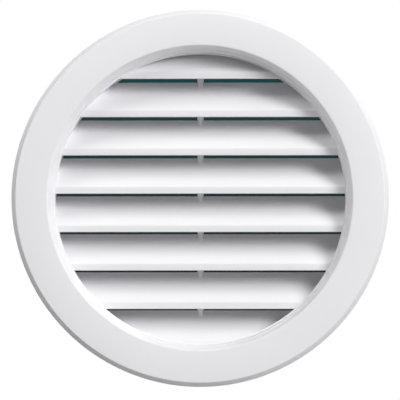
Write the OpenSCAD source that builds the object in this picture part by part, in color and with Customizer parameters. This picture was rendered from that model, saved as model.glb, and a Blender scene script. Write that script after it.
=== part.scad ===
// Round louvred ventilation grille for a wall, moulded in one piece.
// Sizes are in millimetres. +Z is up and the louvres face -Y. The origin is on the
// axis of the collar, in the plane of the wall that the flange lies against.

/* [Flange] */
// Outer diameter of the flange
flange_d = 175; // [168:1:190]
// How far the face of the flange stands off the wall
flange_h = 4; // [3:0.5:6]
// Radial width of the sloping outer edge
edge_w = 2; // [1:0.25:3]
// Height of the straight band between the wall and the sloping edge
edge_land = 0.8; // [0.4:0.2:1.4]
// Thickness of the skin behind the face
skin_t = 2; // [1.4:0.2:2.6]
// Width of the rim that touches the wall
rim_w = 2.3; // [1.6:0.1:3]
// Number of stiffening ribs behind the flange
flange_ribs = 16; // [8:2:24]
// Thickness of those ribs
flange_rib_t = 1.4; // [1:0.2:2]
// Gap that those ribs leave to the wall
flange_rib_gap = 0.6; // [0.4:0.2:1.2]

/* [Collar] */
// Outer diameter of the collar, which pushes into the duct
collar_d = 140; // [130:1:146]
// Wall thickness of the collar
collar_t = 2.4; // [1.8:0.2:3.2]
// How far the collar reaches behind the wall's surface
collar_l = 22; // [21:1:40]
// Size of the chamfer that leads the collar into the duct
lead_in = 1.2; // [0.4:0.2:1.6]
// How much the land behind the flange stands proud of the collar, on the radius
land_w = 1.7; // [1.2:0.1:2.6]
// How far that land reaches behind the wall's surface
land_l = 4.6; // [3:0.2:6]
// Length of the slope from the land down to the collar
shoulder_l = 1.2; // [0.6:0.2:2]

/* [Mouth] */
// Depth of the first step in the mouth, below the face
step_1_depth = 5; // [4:0.2:6]
// Depth of the second step in the mouth, below the face
step_2_depth = 8.6; // [7.6:0.2:10]
// How much the first stretch of the mouth narrows, on the radius
draft_1 = 1.4; // [0.8:0.1:1.8]
// How much the second stretch narrows, on the radius
draft_2 = 0.9; // [0.5:0.1:1.2]
// Width of the first step
step_1_w = 0.2; // [0.1:0.05:0.4]
// Width of the second step
step_2_w = 0.5; // [0.3:0.1:0.8]

/* [Louvre blades] */
// Distance from one blade to the next
pitch = 17.9; // [16:0.1:22]
// Slope of the blades, from level
blade_angle = 45; // [40:1:48]
// Depth of a blade, from its lip to its rear edge
blade_depth = 14.2; // [12:0.2:15]
// Thickness of a blade
blade_t = 1.8; // [1.4:0.1:2.2]
// Height of the upright lip along a blade's front
lip_h = 3; // [2.4:0.1:4]
// Thickness of that lip
lip_t = 1.6; // [1.2:0.1:2.2]
// How far the blades' fronts lie behind the second step
blade_setback = 0.4; // [0.2:0.1:2]
// How much of the lowest lip shows above the floor of the bore
sill_h = 1.4; // [0.8:0.1:2.4]

/* [Centre web] */
// Thickness of the upright web at its front edge
web_front_t = 2; // [1.4:0.1:3]
// Thickness of the web at its rear edge
web_rear_t = 3; // [1.8:0.1:4]
// How far the web reaches in front of the blades' rear edges
web_front = 2.8; // [1.6:0.2:4]
// How far the web reaches behind the blades' rear edges
web_back = 1.4; // [0.6:0.2:1.6]

/* [Rounded edges] */
// Radius along the inner and outer edges of the face
face_r = 0.7; // [0.3:0.1:1]
// Radius along the upper edge of each lip, which catches the light
lip_r = 0.7; // [0.3:0.1:1]
// Radius of the other moulded edges
small_r = 0.3; // [0.1:0.1:0.4]

/* [Hidden] */
$fn = 180;

plastic = [0.93, 0.93, 0.92];
arc_steps = 5;
root = 0.8; // how far a blade or rib is let into the wall that carries it

flange_r = flange_d / 2;
collar_r = collar_d / 2;
bore_r = collar_r - collar_t;
mouth_mid_r = bore_r + step_2_w + draft_2;
mouth_r = mouth_mid_r + step_1_w + draft_1;
land_r = collar_r + land_w;

blade_front = step_2_depth - flange_h + blade_setback;
blade_rear = blade_front + blade_depth;
blade_rise = tan(blade_angle);
lowest_z = sill_h - lip_h - bore_r;
blade_count = floor((bore_r - lip_h - lowest_z) / pitch) + 1;

// Points of an arc of radius r that rounds the corner c between a and b
function corner_arc(a, c, b, r) =
    let (
        u = (a - c) / norm(a - c),
        v = (b - c) / norm(b - c),
        half = acos(u * v) / 2,
        hub = c + (u + v) / norm(u + v) * r / sin(half),
        from = c + u * r / tan(half) - hub,
        to = c + v * r / tan(half) - hub,
        start = atan2(from.y, from.x),
        turn = atan2(from.x * to.y - from.y * to.x, from * to)
    )
    [for (i = [0 : arc_steps])
        hub + r * [cos(start + turn * i / arc_steps), sin(start + turn * i / arc_steps)]];

// Outline through corners given as [x, y, radius], with a radius of 0 for a sharp one
function rounded(corners) =
    let (n = len(corners), at = [for (c = corners) [c[0], c[1]]])
    [for (i = [0 : n - 1])
        each (corners[i][2] > 0
            ? corner_arc(at[(i + n - 1) % n], at[i], at[(i + 1) % n], corners[i][2])
            : [at[i]])];

// Half section of the flange, the mouth and the collar, as [radius, height off the wall]
ring_section = rounded([
    [flange_r - edge_w, flange_h, face_r],
    [mouth_r, flange_h, face_r],
    [mouth_mid_r + step_1_w, flange_h - step_1_depth, 0],
    [mouth_mid_r, flange_h - step_1_depth, 0],
    [bore_r + step_2_w, flange_h - step_2_depth, 0],
    [bore_r, flange_h - step_2_depth, 0],
    [bore_r, -collar_l, 0],
    [collar_r - lead_in, -collar_l, 0],
    [collar_r, lead_in - collar_l, 0],
    [collar_r, -land_l - shoulder_l, 0],
    [land_r, -land_l, small_r],
    [land_r, flange_h - skin_t, small_r],
    [flange_r - rim_w, flange_h - skin_t, small_r],
    [flange_r - rim_w, 0, 0],
    [flange_r, 0, small_r],
    [flange_r, edge_land, small_r],
]);

// Section of one blade, as [distance behind the wall's surface, height above its lip's foot]
blade_section = let (
        plate_h = blade_t / cos(blade_angle),
        top = lip_h + blade_depth * blade_rise,
        root_z = lip_h + lip_t * blade_rise - plate_h
    )
    rounded([
        [blade_front, 0, small_r],
        [blade_front, lip_h, lip_r],
        [blade_rear, top, small_r],
        [blade_rear, top - plate_h, small_r],
        [blade_front + lip_t, root_z, small_r],
        [blade_front + lip_t, 0, small_r],
    ]);

// Turns a shape whose front looks along +Z so that it looks along -Y
module face_front() {
    rotate([90, 0, 0]) children();
}

// Flange, stepped mouth and collar as one turned form
module ring() {
    face_front() rotate_extrude() polygon(ring_section);
}

// Stiffening ribs in the hollow behind the flange
module flange_rib_set() {
    hollow_h = flange_h - skin_t;
    rib_l = flange_r - rim_w - land_r + 2 * root;
    face_front()
        for (i = [0 : flange_ribs - 1])
            rotate(360 * (i + 0.5) / flange_ribs)
                translate([land_r - root, -flange_rib_t / 2, flange_rib_gap])
                    cube([rib_l, flange_rib_t, hollow_h - flange_rib_gap + root]);
}

// One blade, long enough to cross the bore
module blade() {
    rotate([90, 0, 90])
        linear_extrude(2 * collar_r, center = true) polygon(blade_section);
}

// Upright web that ties the blades together behind their rear edges
module centre_web() {
    translate([0, 0, -collar_r])
        linear_extrude(2 * collar_r)
            polygon([
                [-web_front_t / 2, blade_rear - web_front],
                [web_front_t / 2, blade_rear - web_front],
                [web_rear_t / 2, blade_rear + web_back],
                [-web_rear_t / 2, blade_rear + web_back],
            ]);
}

// Blades and web, trimmed to the bore and let into its wall
module louvre_bank() {
    intersection() {
        union() {
            for (i = [0 : blade_count - 1])
                translate([0, 0, lowest_z + i * pitch]) blade();
            centre_web();
        }
        face_front() translate([0, 0, -collar_l])
            cylinder(h = collar_l, r = bore_r + root);
    }
}

module grille() {
    color(plastic) {
        ring();
        flange_rib_set();
        louvre_bank();
    }
}

grille();
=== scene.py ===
# %% [markdown]
# # A round louvred wall grille
# The object is one white moulding: a flat round flange that lies on the wall, a stepped mouth, a
# bank of sloping louvre blades inside it, and a collar behind it that pushes into the duct.
# The CAD model comes first and stays the frame: everything below is made in its axes and in
# metres, so the new, finer surfaces lie where the CAD solid lies. +Z is up and the front looks
# along -Y.

# %% Load the CAD model as the frame
import math
import bmesh
import bpy
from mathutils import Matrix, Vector


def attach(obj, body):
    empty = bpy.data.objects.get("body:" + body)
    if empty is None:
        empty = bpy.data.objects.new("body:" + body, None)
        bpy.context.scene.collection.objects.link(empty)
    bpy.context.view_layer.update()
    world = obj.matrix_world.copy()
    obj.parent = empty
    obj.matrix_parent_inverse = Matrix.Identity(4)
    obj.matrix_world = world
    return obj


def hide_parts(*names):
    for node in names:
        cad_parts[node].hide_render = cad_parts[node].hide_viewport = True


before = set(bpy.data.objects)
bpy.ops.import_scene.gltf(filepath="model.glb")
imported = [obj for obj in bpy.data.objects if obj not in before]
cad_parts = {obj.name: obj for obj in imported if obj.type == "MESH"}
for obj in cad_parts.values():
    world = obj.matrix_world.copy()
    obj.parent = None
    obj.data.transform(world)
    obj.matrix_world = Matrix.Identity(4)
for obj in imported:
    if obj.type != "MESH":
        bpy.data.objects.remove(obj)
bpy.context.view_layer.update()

# %% [markdown]
# ## Sizes
# A moulding is drawn with a few dozen sizes. They are the ones that the CAD source gives, written
# in millimetres because that is how a maker reads them, and turned into metres once, here. Three are
# finer than the CAD's. Each lip hangs 0.2 mm lower and each blade's rear edge stands 0.2 mm higher,
# because the dark slots in the photograph are only about a millimetre high. The bore opens by a hair
# towards its rear, the draft that lets it slide off its core, so the slots reach a little further out.

# %% Sizes of the moulding
MM = 0.001
FLANGE_R = 87.5
FLANGE_H = 4.0
EDGE_W = 2.0
EDGE_LAND = 0.8
SKIN_T = 2.0
RIM_W = 2.3
COLLAR_R = 70.0
BORE_R = 67.6
BORE_DRAFT = 0.6
COLLAR_L = 22.0
LEAD_IN = 1.2
LAND_R = 71.7
LAND_L = 4.6
SHOULDER_L = 1.2
STEP_1_DEPTH = 5.0
STEP_2_DEPTH = 8.6
MOUTH_R = 70.6
STEP_1_W = 0.2
STEP_2_W = 0.5
MOUTH_MID_R = 69.0
PITCH = 17.9
BLADE_COUNT = 8
LOWEST_LIP_Z = -69.4
BLADE_FRONT = 5.0
BLADE_DEPTH = 14.4
BLADE_T = 1.8
LIP_H = 3.2
LIP_T = 1.6
ROOT = 0.8
print("flange", 2 * FLANGE_R, "mm across,", BLADE_COUNT, "blades", PITCH, "mm apart")

# %% [markdown]
# ## Small helpers for working by hand
# Blender's operators act on whatever is selected, in the mode that the window is in. These helpers
# do what a modeller's hand does between two operators: let go of everything, pick points by their
# place, and step in and out of edit mode.

# %% Helpers for picking and for leaving edit mode
HAIR = 0.01 * MM


def let_go():
    """Leaves edit mode and deselects every object."""
    if bpy.context.object and bpy.context.object.mode == "EDIT":
        bpy.ops.object.mode_set(mode="OBJECT")
    bpy.ops.object.select_all(action="DESELECT")


def hold(*pieces):
    """Selects these pieces, the last one active."""
    let_go()
    for piece in pieces:
        piece.select_set(True)
    bpy.context.view_layer.objects.active = pieces[-1]


def pick(piece, wanted):
    """In edit mode, selects the points that the test accepts, with the edges and faces between them."""
    mesh = bmesh.from_edit_mesh(piece.data)
    for part in (*mesh.faces, *mesh.edges, *mesh.verts):
        part.select = False
    for point in mesh.verts:
        point.select = wanted(point.co)
    mesh.select_flush(True)
    bmesh.update_edit_mesh(piece.data)


def describe(piece):
    """Prints a piece's faces and size, and whether its surface is closed."""
    mesh = bmesh.new()
    mesh.from_mesh(piece.data)
    open_edges = sum(not edge.is_manifold for edge in mesh.edges)
    volume = mesh.calc_volume(signed=True) / MM ** 3
    mesh.free()
    size = [round(v / MM, 2) for v in piece.dimensions]
    print(f"{piece.name}: {len(piece.data.polygons)} faces, {size} mm, {volume:.0f} mm3, {open_edges} open edges")


# %% Helper that draws an outline and rounds its corners
ARC_STEPS = 6


def draw_outline(name, corners, place):
    """A flat face drawn from corner to corner in edit mode. corners are (across, along, radius) in
    millimetres, and place turns (across, along) into a point in space."""
    let_go()
    bpy.ops.mesh.primitive_plane_add(size=MM)
    piece = bpy.context.object
    piece.name = piece.data.name = name
    bpy.ops.object.mode_set(mode="EDIT")
    bpy.ops.mesh.select_all(action="SELECT")
    bpy.ops.mesh.merge(type="CENTER")
    points = [Vector(place(across, along)) * MM for across, along, _ in corners]
    bpy.ops.transform.translate(value=points[0])
    for here, there in zip(points, points[1:] + points[:1]):
        bpy.ops.mesh.extrude_region_move(TRANSFORM_OT_translate={"value": there - here})
    bpy.ops.mesh.select_all(action="SELECT")
    bpy.ops.mesh.remove_doubles(threshold=HAIR / 10)
    bpy.ops.mesh.edge_face_add()
    for n, (_, _, radius) in enumerate(corners):
        if radius > 0:
            corner = points[n]
            before = (points[n - 1] - corner).normalized()
            after = (points[(n + 1) % len(points)] - corner).normalized()
            reach = radius * MM / math.tan(before.angle(after) / 2)
            pick(piece, lambda co: (co - corner).length < HAIR)
            bpy.ops.mesh.bevel(affect="VERTICES", offset=reach, segments=ARC_STEPS, profile=0.5)
    return piece


# %% [markdown]
# ## The turned form: flange, stepped mouth and collar
# On the real grille the flange, the mouth and the collar are one wall of plastic that a mould maker
# would cut on a lathe. It could be built from cylinders and booleans, or by scaling rings one after
# another. Drawing the half section once and spinning it is closer to how the tool is made: every
# step, draft and rounded edge sits in one outline, and all of them run true round the axis.

# %% Half section of the turned form
SMALL_R = 0.3
STEP_R = 0.08
ring_corners = [
    (FLANGE_R - EDGE_W, FLANGE_H, 0.7),
    (MOUTH_R, FLANGE_H, 0.7),
    (MOUTH_MID_R + STEP_1_W, FLANGE_H - STEP_1_DEPTH, STEP_R),
    (MOUTH_MID_R, FLANGE_H - STEP_1_DEPTH, STEP_R),
    (BORE_R + STEP_2_W, FLANGE_H - STEP_2_DEPTH, STEP_R),
    (BORE_R, FLANGE_H - STEP_2_DEPTH, STEP_R),
    (BORE_R + BORE_DRAFT, -COLLAR_L, 0.2),
    (COLLAR_R - LEAD_IN, -COLLAR_L, 0.2),
    (COLLAR_R, LEAD_IN - COLLAR_L, SMALL_R),
    (COLLAR_R, -LAND_L - SHOULDER_L, SMALL_R),
    (LAND_R, -LAND_L, SMALL_R),
    (LAND_R, FLANGE_H - SKIN_T, SMALL_R),
    (FLANGE_R - RIM_W, FLANGE_H - SKIN_T, SMALL_R),
    (FLANGE_R - RIM_W, 0, 0.2),
    (FLANGE_R, 0, SMALL_R),
    (FLANGE_R, EDGE_LAND, SMALL_R),
]
moulding = draw_outline("moulding", ring_corners, lambda radius, height: (radius, -height, 0))
print("half section has", len(ring_corners), "corners")

# %% Spin the section once round the axis
TURN_STEPS = 288
bpy.ops.mesh.select_all(action="SELECT")
bpy.ops.mesh.delete(type="ONLY_FACE")
bpy.ops.mesh.select_all(action="SELECT")
bpy.ops.mesh.spin(steps=TURN_STEPS, angle=math.tau, center=(0, 0, 0), axis=(0, 1, 0))
bpy.ops.mesh.select_all(action="SELECT")
bpy.ops.mesh.remove_doubles(threshold=HAIR / 10)
bpy.ops.mesh.normals_make_consistent(inside=False)
let_go()
describe(moulding)

# %% [markdown]
# ## The louvre blades
# Each blade is a thin plate that rises at 45 degrees from an upright lip. The lip's rounded top edge
# is what catches the light as a bright line across the mouth. All the blades share one section, so
# one blade is drawn, pulled out to length and copied upwards. The ends are then trimmed to the round
# bore, a little way into its wall, as the plastic of the real blade runs into the collar.

# %% One blade
plate_h = BLADE_T * math.sqrt(2)
blade_rear = BLADE_FRONT + BLADE_DEPTH
blade_corners = [
    (BLADE_FRONT, 0, SMALL_R),
    (BLADE_FRONT, LIP_H, 0.7),
    (blade_rear, LIP_H + BLADE_DEPTH, SMALL_R),
    (blade_rear, LIP_H + BLADE_DEPTH - plate_h, SMALL_R),
    (BLADE_FRONT + LIP_T, LIP_H + LIP_T - plate_h, SMALL_R),
    (BLADE_FRONT + LIP_T, 0, SMALL_R),
]
blade = draw_outline("blade", blade_corners, lambda depth, height: (-COLLAR_R, depth, height + LOWEST_LIP_Z))
bpy.ops.mesh.select_all(action="SELECT")
bpy.ops.mesh.extrude_region_move(TRANSFORM_OT_translate={"value": (2 * COLLAR_R * MM, 0, 0)})
bpy.ops.mesh.select_all(action="SELECT")
bpy.ops.mesh.normals_make_consistent(inside=False)
let_go()
describe(blade)

# %% Copy the blade up the mouth
blades = [blade]
for n in range(1, BLADE_COUNT):
    hold(blade)
    bpy.ops.object.duplicate(linked=False)
    copy = bpy.context.object
    copy.name = copy.data.name = f"blade_{n + 1}"
    bpy.ops.transform.translate(value=(0, 0, n * PITCH * MM))
    bpy.ops.object.transform_apply(location=True)
    blades.append(copy)
print(len(blades), "blades, the top lip at", round(blades[-1].bound_box[0][2] / MM, 1), "mm")

# %% [markdown]
# ## The centre web
# Long thin blades would sag and rattle, so the moulding ties them together with an upright web
# behind their rear edges. It shows in the slots as a short pale bar on the centre line. It is a
# block whose rear is drawn out wider than its front, the way a mould gives it draft.

# %% Block out the web, taper it and round its edges
WEB_FRONT_Y = 16.4
WEB_BACK_Y = 20.6
WEB_FRONT_T = 2.0
WEB_REAR_T = 3.0
let_go()
bpy.ops.mesh.primitive_cube_add(size=1, location=(0, (WEB_FRONT_Y + WEB_BACK_Y) / 2 * MM, 0))
web = bpy.context.object
web.name = web.data.name = "web"
web.scale = (WEB_FRONT_T * MM, (WEB_BACK_Y - WEB_FRONT_Y) * MM, 2 * COLLAR_R * MM)
bpy.ops.object.transform_apply(location=True, scale=True)
bpy.ops.object.mode_set(mode="EDIT")
pick(web, lambda co: co.y > (WEB_BACK_Y - 1) * MM)
bpy.ops.transform.resize(value=(WEB_REAR_T / WEB_FRONT_T, 1, 1))
bpy.ops.mesh.select_all(action="SELECT")
bpy.ops.mesh.bevel(offset=0.25 * MM, segments=3, profile=0.5)
let_go()
describe(web)

# %% Trim the blades and the web to the bore
TRIM_R = (BORE_R + COLLAR_R) / 2


def trim_to_bore(piece):
    """Keeps the part of a piece that lies inside a round bar that ends halfway into the bore's wall."""
    let_go()
    bpy.ops.mesh.primitive_cylinder_add(
        vertices=TURN_STEPS,
        radius=TRIM_R * MM,
        depth=2 * COLLAR_L * MM,
        rotation=(math.pi / 2, 0, 0),
    )
    bar = bpy.context.object
    hold(piece)
    cut = piece.modifiers.new("trim", "BOOLEAN")
    cut.operation = "INTERSECT"
    cut.solver = "EXACT"
    cut.object = bar
    bpy.ops.object.modifier_apply(modifier=cut.name)
    bpy.data.objects.remove(bar)


for piece in (*blades, web):
    trim_to_bore(piece)
    describe(piece)

# %% [markdown]
# ## Stiffening ribs behind the flange
# The flange is a thin skin with a rim that meets the wall, so its back is a ring-shaped hollow. Short
# radial ribs cross it and keep the skin flat. One rib is shaped and then copied round the axis.

# %% One rib, and its copies round the axis
RIB_COUNT = 16
RIB_T = 1.4
RIB_GAP = 0.6
rib_in = LAND_R - ROOT
rib_out = FLANGE_R - RIM_W + ROOT
rib_front = -(FLANGE_H - SKIN_T) - ROOT
let_go()
bpy.ops.mesh.primitive_cube_add(size=1)
rib = bpy.context.object
rib.name = rib.data.name = "rib"
rib.location = ((rib_in + rib_out) / 2 * MM, (rib_front - RIB_GAP) / 2 * MM, 0)
rib.scale = ((rib_out - rib_in) * MM, (-RIB_GAP - rib_front) * MM, RIB_T * MM)
bpy.ops.object.transform_apply(location=True, scale=True)
bpy.ops.object.mode_set(mode="EDIT")
pick(rib, lambda co: co.y > (-RIB_GAP - 0.1) * MM)
bpy.ops.transform.resize(value=(1, 1, 0.85))
bpy.ops.mesh.bevel(offset=0.2 * MM, segments=3, profile=0.5)
let_go()
describe(rib)
ribs = []
for n in range(RIB_COUNT):
    hold(rib)
    bpy.ops.object.duplicate(linked=False)
    copy = bpy.context.object
    bpy.ops.transform.rotate(
        value=math.tau * (n + 0.5) / RIB_COUNT,
        orient_axis="Y",
        orient_type="GLOBAL",
        center_override=(0, 0, 0),
    )
    bpy.ops.object.transform_apply(location=True, rotation=True)
    ribs.append(copy)
bpy.data.objects.remove(rib)
print(len(ribs), "ribs")

# %% [markdown]
# ## One moulding
# The blades, the web and the ribs are part of the same shot of plastic as the ring, so they are
# fused into it. Joining the meshes would leave walls inside one another. A boolean union gives one
# closed skin, with a true edge wherever a blade meets the collar.

# %% Fuse everything into the ring
inserts = bpy.data.collections.new("inserts")
bpy.context.scene.collection.children.link(inserts)
for piece in (*blades, web, *ribs):
    inserts.objects.link(piece)
hold(moulding)
fuse = moulding.modifiers.new("fuse", "BOOLEAN")
fuse.operation = "UNION"
fuse.solver = "EXACT"
fuse.operand_type = "COLLECTION"
fuse.collection = inserts
bpy.ops.object.modifier_apply(modifier=fuse.name)
for piece in (*blades, web, *ribs):
    bpy.data.objects.remove(piece)
bpy.data.collections.remove(inserts)
bpy.ops.object.shade_smooth_by_angle(angle=math.radians(28))
describe(moulding)

# %% Put the moulding in the frame
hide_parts("grille")
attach(moulding, "root")
print("visual box in mm:", [round(v / MM, 1) for v in moulding.dimensions])

# %% [markdown]
# ## White moulded plastic
# The real surface is a satin white with a fine, even grain that the mould leaves, so light spreads
# softly and nothing mirrors. A flat colour would look like paper. Two small effects make it plastic:
# a grain a fraction of a millimetre wide that drives the bump and the gloss, and a slow drift of
# tone, as the melt cools unevenly. Both are node groups, so that each can be reused with other sizes.

# %% Node group: the grain that the mould leaves


def new_group(name, inputs, outputs):
    """An empty shader node group with these (name, default) inputs and named float outputs."""
    group = bpy.data.node_groups.new(name, "ShaderNodeTree")
    for label, default in inputs:
        kind = "NodeSocketVector" if default is None else "NodeSocketFloat"
        socket = group.interface.new_socket(label, in_out="INPUT", socket_type=kind)
        if default is not None:
            socket.default_value = default
    for label in outputs:
        group.interface.new_socket(label, in_out="OUTPUT", socket_type="NodeSocketFloat")
    return group


def add(tree, kind, x, y, **settings):
    """A node of this kind at a place on the sheet, with its settings."""
    made = tree.nodes.new(kind)
    made.location = (x, y)
    for key, value in settings.items():
        setattr(made, key, value)
    return made


grain_group = new_group("mould grain", [("Place", None), ("Grain size", 0.0003)], ["Height", "Pits"])
entry = add(grain_group, "NodeGroupInput", -600, 0)
per_size = add(grain_group, "ShaderNodeMath", -400, -120, operation="DIVIDE")
per_size.inputs[0].default_value = 1.0
fine = add(grain_group, "ShaderNodeTexNoise", -200, 120, noise_dimensions="3D")
fine.inputs["Detail"].default_value = 3.0
fine.inputs["Roughness"].default_value = 0.55
pits = add(grain_group, "ShaderNodeTexVoronoi", -200, -160, feature="SMOOTH_F1")
pits.inputs["Smoothness"].default_value = 0.6
blend = add(grain_group, "ShaderNodeMix", 40, 60, data_type="FLOAT")
blend.inputs["Factor"].default_value = 0.35
way_out = add(grain_group, "NodeGroupOutput", 260, 0)
wire = grain_group.links.new
wire(entry.outputs["Grain size"], per_size.inputs[1])
wire(entry.outputs["Place"], fine.inputs["Vector"])
wire(entry.outputs["Place"], pits.inputs["Vector"])
wire(per_size.outputs[0], fine.inputs["Scale"])
wire(per_size.outputs[0], pits.inputs["Scale"])
wire(fine.outputs["Fac"], blend.inputs["A"])
wire(pits.outputs["Distance"], blend.inputs["B"])
wire(blend.outputs["Result"], way_out.inputs["Height"])
wire(pits.outputs["Distance"], way_out.inputs["Pits"])
print("group", grain_group.name, "has", len(grain_group.nodes), "nodes")

# %% Node group: the slow drift of tone
drift_group = new_group("melt drift", [("Place", None), ("Patch size", 0.04)], ["Drift"])
entry = add(drift_group, "NodeGroupInput", -600, 0)
per_size = add(drift_group, "ShaderNodeMath", -400, -120, operation="DIVIDE")
per_size.inputs[0].default_value = 1.0
slow = add(drift_group, "ShaderNodeTexNoise", -200, 0, noise_dimensions="3D")
slow.inputs["Detail"].default_value = 2.0
slow.inputs["Distortion"].default_value = 0.4
spread = add(drift_group, "ShaderNodeMapRange", 20, 0, interpolation_type="SMOOTHSTEP")
spread.inputs["From Min"].default_value = 0.3
spread.inputs["From Max"].default_value = 0.7
way_out = add(drift_group, "NodeGroupOutput", 260, 0)
wire = drift_group.links.new
wire(entry.outputs["Patch size"], per_size.inputs[1])
wire(entry.outputs["Place"], slow.inputs["Vector"])
wire(per_size.outputs[0], slow.inputs["Scale"])
wire(slow.outputs["Fac"], spread.inputs["Value"])
wire(spread.outputs["Result"], way_out.inputs["Drift"])
print("group", drift_group.name, "has", len(drift_group.nodes), "nodes")

# %% The white plastic itself
PLASTIC_LIGHT = (0.877, 0.873, 0.896, 1)
PLASTIC_DEEP = (0.863, 0.860, 0.883, 1)
plastic = bpy.data.materials.new("white moulded plastic")
plastic.use_nodes = True
sheet = plastic.node_tree
shader = sheet.nodes["Principled BSDF"]
shader.inputs["IOR"].default_value = 1.49
place_on_piece = add(sheet, "ShaderNodeTexCoord", -1100, 0)
grain = add(sheet, "ShaderNodeGroup", -820, -200, node_tree=grain_group)
grain.inputs["Grain size"].default_value = 0.00032
drift = add(sheet, "ShaderNodeGroup", -820, 200, node_tree=drift_group)
drift.inputs["Patch size"].default_value = 0.045
tone = add(sheet, "ShaderNodeMix", -420, 260, data_type="RGBA")
tone.inputs["A"].default_value = PLASTIC_DEEP
tone.inputs["B"].default_value = PLASTIC_LIGHT
gloss = add(sheet, "ShaderNodeMapRange", -420, -40)
gloss.inputs["To Min"].default_value = 0.40
gloss.inputs["To Max"].default_value = 0.52
relief = add(sheet, "ShaderNodeBump", -420, -320)
relief.inputs["Strength"].default_value = 0.35
relief.inputs["Distance"].default_value = 0.00002
wire = sheet.links.new
wire(place_on_piece.outputs["Object"], grain.inputs["Place"])
wire(place_on_piece.outputs["Object"], drift.inputs["Place"])
wire(drift.outputs["Drift"], tone.inputs["Factor"])
wire(tone.outputs["Result"], shader.inputs["Base Color"])
wire(grain.outputs["Pits"], gloss.inputs["Value"])
wire(gloss.outputs["Result"], shader.inputs["Roughness"])
wire(grain.outputs["Height"], relief.inputs["Height"])
wire(relief.outputs["Normal"], shader.inputs["Normal"])
moulding.data.materials.clear()
moulding.data.materials.append(plastic)
print("material", plastic.name, "has", len(sheet.nodes), "nodes")

# %% [markdown]
# ## Stage
# A pale round floor takes the soft shadow and throws a little light back up, less than its shade
# would, because the flange in the photograph darkens towards its foot. The floor fades out towards its
# rim, so no edge shows against the white surround. In the photograph something dark lies behind
# the grille and shows through its slots. A thin card just behind the collar stands for it, and for the
# shade in the lower slots. To the camera its front is an unlit dark colour: dark teal at the top, and
# painted shade, a neutral near-black, towards the bottom. It dims the light that goes through, so the
# lamps behind the grille hardly brighten the louvres from the rear. Its back is clear, so the rear
# views look into the collar.

# %% Pale floor that fades out
FLOOR_Z = -0.12
FLOOR_R = 0.8
FLOOR_SHADE = (0.72, 0.72, 0.72, 1)
FLOOR_BOUNCE = (0.42, 0.42, 0.42, 1)
let_go()
bpy.ops.mesh.primitive_circle_add(vertices=96, radius=FLOOR_R, location=(0, 0, FLOOR_Z), fill_type="NGON")
floor = bpy.context.object
floor.name = floor.data.name = "floor"
bpy.ops.object.transform_apply(location=True)
floor_paint = bpy.data.materials.new("pale floor")
floor_paint.use_nodes = True
sheet = floor_paint.node_tree
matte = sheet.nodes["Principled BSDF"]
path = add(sheet, "ShaderNodeLightPath", -700, -100)
shade = add(sheet, "ShaderNodeMix", -400, -100, data_type="RGBA")
shade.inputs["A"].default_value = FLOOR_BOUNCE
shade.inputs["B"].default_value = FLOOR_SHADE
matte.inputs["Roughness"].default_value = 0.9
where = add(sheet, "ShaderNodeTexCoord", -900, 300)
centred = add(sheet, "ShaderNodeVectorMath", -700, 300, operation="MULTIPLY")
centred.inputs[1].default_value = (1, 1, 0)
reach = add(sheet, "ShaderNodeVectorMath", -500, 300, operation="LENGTH")
fade = add(sheet, "ShaderNodeMapRange", -300, 300, interpolation_type="SMOOTHSTEP")
fade.inputs["From Min"].default_value = 0.35
fade.inputs["From Max"].default_value = 0.78
clear = add(sheet, "ShaderNodeBsdfTransparent", -100, 200)
mixed = add(sheet, "ShaderNodeMixShader", 250, 200)
wire = sheet.links.new
wire(path.outputs["Is Camera Ray"], shade.inputs["Factor"])
wire(shade.outputs["Result"], matte.inputs["Base Color"])
wire(where.outputs["Object"], centred.inputs[0])
wire(centred.outputs["Vector"], reach.inputs[0])
wire(reach.outputs["Value"], fade.inputs["Value"])
wire(fade.outputs["Result"], mixed.inputs["Fac"])
wire(matte.outputs["BSDF"], mixed.inputs[1])
wire(clear.outputs["BSDF"], mixed.inputs[2])
wire(mixed.outputs["Shader"], sheet.nodes["Material Output"].inputs["Surface"])
floor.data.materials.append(floor_paint)
print("floor", FLOOR_Z, "m below the axis")

# %% Dark card behind the collar
CARD_Y = COLLAR_L + 0.4
CARD_R = 68.6
CARD_LEAK = 0.35
let_go()
bpy.ops.mesh.primitive_circle_add(
    vertices=96, radius=CARD_R * MM, location=(0, CARD_Y * MM, 0), rotation=(math.pi / 2, 0, 0), fill_type="NGON"
)
card = bpy.context.object
card.name = card.data.name = "dark_card"
bpy.ops.object.transform_apply(location=True, rotation=True)
card_paint = bpy.data.materials.new("dark card")
card_paint.use_nodes = True
sheet = card_paint.node_tree
sheet.nodes.remove(sheet.nodes["Principled BSDF"])
where = add(sheet, "ShaderNodeTexCoord", -1100, 100)
split = add(sheet, "ShaderNodeSeparateXYZ", -900, 100)
height = add(sheet, "ShaderNodeMapRange", -700, 100)
height.inputs["From Min"].default_value = -0.03
height.inputs["From Max"].default_value = 0.06
# Painted shade: the card's colour runs from a neutral near-black low down, standing for the shade in the lower
# slots, to the dark teal of the backdrop higher up.
backdrop_and_shade = add(sheet, "ShaderNodeMix", -480, 100, data_type="RGBA")
backdrop_and_shade.inputs["A"].default_value = (0.018, 0.022, 0.024, 1)
backdrop_and_shade.inputs["B"].default_value = (0.013, 0.050, 0.052, 1)
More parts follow.
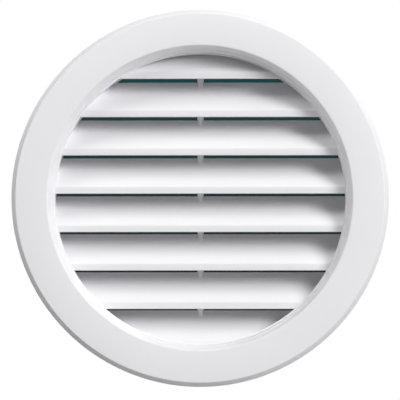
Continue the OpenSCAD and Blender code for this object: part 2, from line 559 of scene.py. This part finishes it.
# Shown as emission, so this dark colour is painted and is not lit by the lamps.
painted_backdrop_and_shade = add(sheet, "ShaderNodeEmission", -260, 100)
path = add(sheet, "ShaderNodeLightPath", -700, 500)
facing = add(sheet, "ShaderNodeNewGeometry", -700, -180)
front = add(sheet, "ShaderNodeMath", -480, -180, operation="SUBTRACT")
front.inputs[0].default_value = 1.0
seen = add(sheet, "ShaderNodeMath", -260, 400, operation="MULTIPLY")
let_through = add(sheet, "ShaderNodeMix", -480, -400, data_type="FLOAT")
let_through.inputs["A"].default_value = 1.0
let_through.inputs["B"].default_value = CARD_LEAK
clear = add(sheet, "ShaderNodeBsdfTransparent", -260, -60)
mixed = add(sheet, "ShaderNodeMixShader", 0, 100)
wire = sheet.links.new
wire(where.outputs["Object"], split.inputs["Vector"])
wire(split.outputs["Z"], height.inputs["Value"])
wire(height.outputs["Result"], backdrop_and_shade.inputs["Factor"])
wire(backdrop_and_shade.outputs["Result"], painted_backdrop_and_shade.inputs["Color"])
wire(facing.outputs["Backfacing"], front.inputs[1])
wire(path.outputs["Is Camera Ray"], seen.inputs[0])
wire(front.outputs["Value"], seen.inputs[1])
wire(front.outputs["Value"], let_through.inputs["Factor"])
wire(let_through.outputs["Result"], clear.inputs["Color"])
wire(seen.outputs["Value"], mixed.inputs["Fac"])
wire(clear.outputs["BSDF"], mixed.inputs[1])
wire(painted_backdrop_and_shade.outputs["Emission"], mixed.inputs[2])
wire(mixed.outputs["Shader"], sheet.nodes["Material Output"].inputs["Surface"])
card.data.materials.append(card_paint)
print("card faces", [round(v, 2) for v in card.data.polygons[0].normal])

# %% [markdown]
# ## Camera
# The photograph looks at the grille almost square on, from a little below its middle and a touch to
# the right, with a long lens. The circles at different depths in the picture give the angle: deeper
# circles sit lower and to the right. The distance comes from how fast they shrink.

# %% Set up the camera
VIEW_RIGHT = 0.75
VIEW_UP = -2.47
VIEW_DISTANCE = 1.2
SENSOR = 36.0
FOCAL_PX = 2587.0
FRAME_PX = 400.0
AIM_BELOW = 1.0 * MM
turn = math.radians(VIEW_RIGHT)
tilt = math.radians(VIEW_UP)
back = Vector((math.sin(turn) * math.cos(tilt), -math.cos(turn) * math.cos(tilt), math.sin(tilt)))
camera = bpy.data.objects.new("camera", bpy.data.cameras.new("camera"))
bpy.context.scene.collection.objects.link(camera)
camera.data.sensor_width = SENSOR
camera.data.lens = FOCAL_PX / FRAME_PX * SENSOR
camera.data.clip_start = 0.05
camera.location = back * VIEW_DISTANCE + Vector((0, 0, -AIM_BELOW))
camera.rotation_mode = "QUATERNION"
camera.rotation_quaternion = (-back).to_track_quat("-Z", "Y")
bpy.context.scene.camera = camera
print("lens", round(camera.data.lens, 1), "mm at", VIEW_DISTANCE, "m")

# %% [markdown]
# ## Light
# The light is that of a small product studio. The shadows that the mouth throws on the ends of the
# blades, and the way each blade darkens towards its slot, show where the lamps stood: one large
# softbox on the right, a little above the grille, and small ones close above it. The highest of those
# brightens the lower half of every blade and draws the bright line along its lip. Two strips, one at
# each side, light the edges, and two more softboxes light the back for the other views. The world
# gives almost no light. It is white for the camera, so the piece stands on white without being lit.

# %% Softboxes


def softbox(name, right, up, distance, width, height, watts):
    """A soft area lamp that looks at the grille from so many degrees to its right and above it."""
    lamp = bpy.data.lights.new(name, "AREA")
    lamp.shape = "RECTANGLE"
    lamp.size = width
    lamp.size_y = height
    lamp.energy = watts
    stand = bpy.data.objects.new(name, lamp)
    bpy.context.scene.collection.objects.link(stand)
    a = math.radians(right)
    e = math.radians(up)
    away = Vector((math.sin(a) * math.cos(e), -math.cos(a) * math.cos(e), math.sin(e)))
    stand.location = away * distance
    stand.rotation_mode = "QUATERNION"
    stand.rotation_quaternion = away.to_track_quat("Z", "Y")
    return stand


lamps = [
    softbox("key_softbox", 43, 22, 2.2, 0.70, 0.98, 35.2),
    softbox("top_left_softbox", -52, 42, 0.8, 0.44, 0.16, 1.9),
    softbox("top_softbox", 4, 70, 0.8, 0.44, 0.24, 1.15),
    softbox("top_right_softbox", 20, 54, 0.8, 0.30, 0.16, 0.35),
    softbox("left_strip", -90, -2, 1.4, 0.70, 0.14, 0.9),
    softbox("right_strip", 76, -2, 1.4, 0.35, 0.14, 1.5),
    softbox("rear_softbox", 155, 28, 1.6, 0.9, 0.5, 9.0),
    softbox("rear_fill", -145, 22, 1.6, 0.9, 0.5, 5.0),
]
print("lamps:", [lamp.name for lamp in lamps])

# %% World and view settings
WORLD_LIGHT = 0.02
world = bpy.data.worlds.new("studio")
bpy.context.scene.world = world
world.use_nodes = True
sheet = world.node_tree
surround = sheet.nodes["Background"]
surround.inputs["Color"].default_value = (1, 1, 1, 1)
path = add(sheet, "ShaderNodeLightPath", -700, 0)
shown = add(sheet, "ShaderNodeMath", -500, 0, operation="MAXIMUM")
shown_too = add(sheet, "ShaderNodeMath", -320, 0, operation="MAXIMUM")
strength = add(sheet, "ShaderNodeMapRange", -160, 0)
strength.inputs["To Min"].default_value = WORLD_LIGHT
strength.inputs["To Max"].default_value = 1.0
wire = sheet.links.new
wire(path.outputs["Is Camera Ray"], shown.inputs[0])
wire(path.outputs["Is Glossy Ray"], shown.inputs[1])
wire(shown.outputs["Value"], shown_too.inputs[0])
wire(path.outputs["Is Transmission Ray"], shown_too.inputs[1])
wire(shown_too.outputs["Value"], strength.inputs["Value"])
wire(strength.outputs["Result"], surround.inputs["Strength"])
bpy.context.scene.view_settings.view_transform = "Standard"
print("world lights at", WORLD_LIGHT)
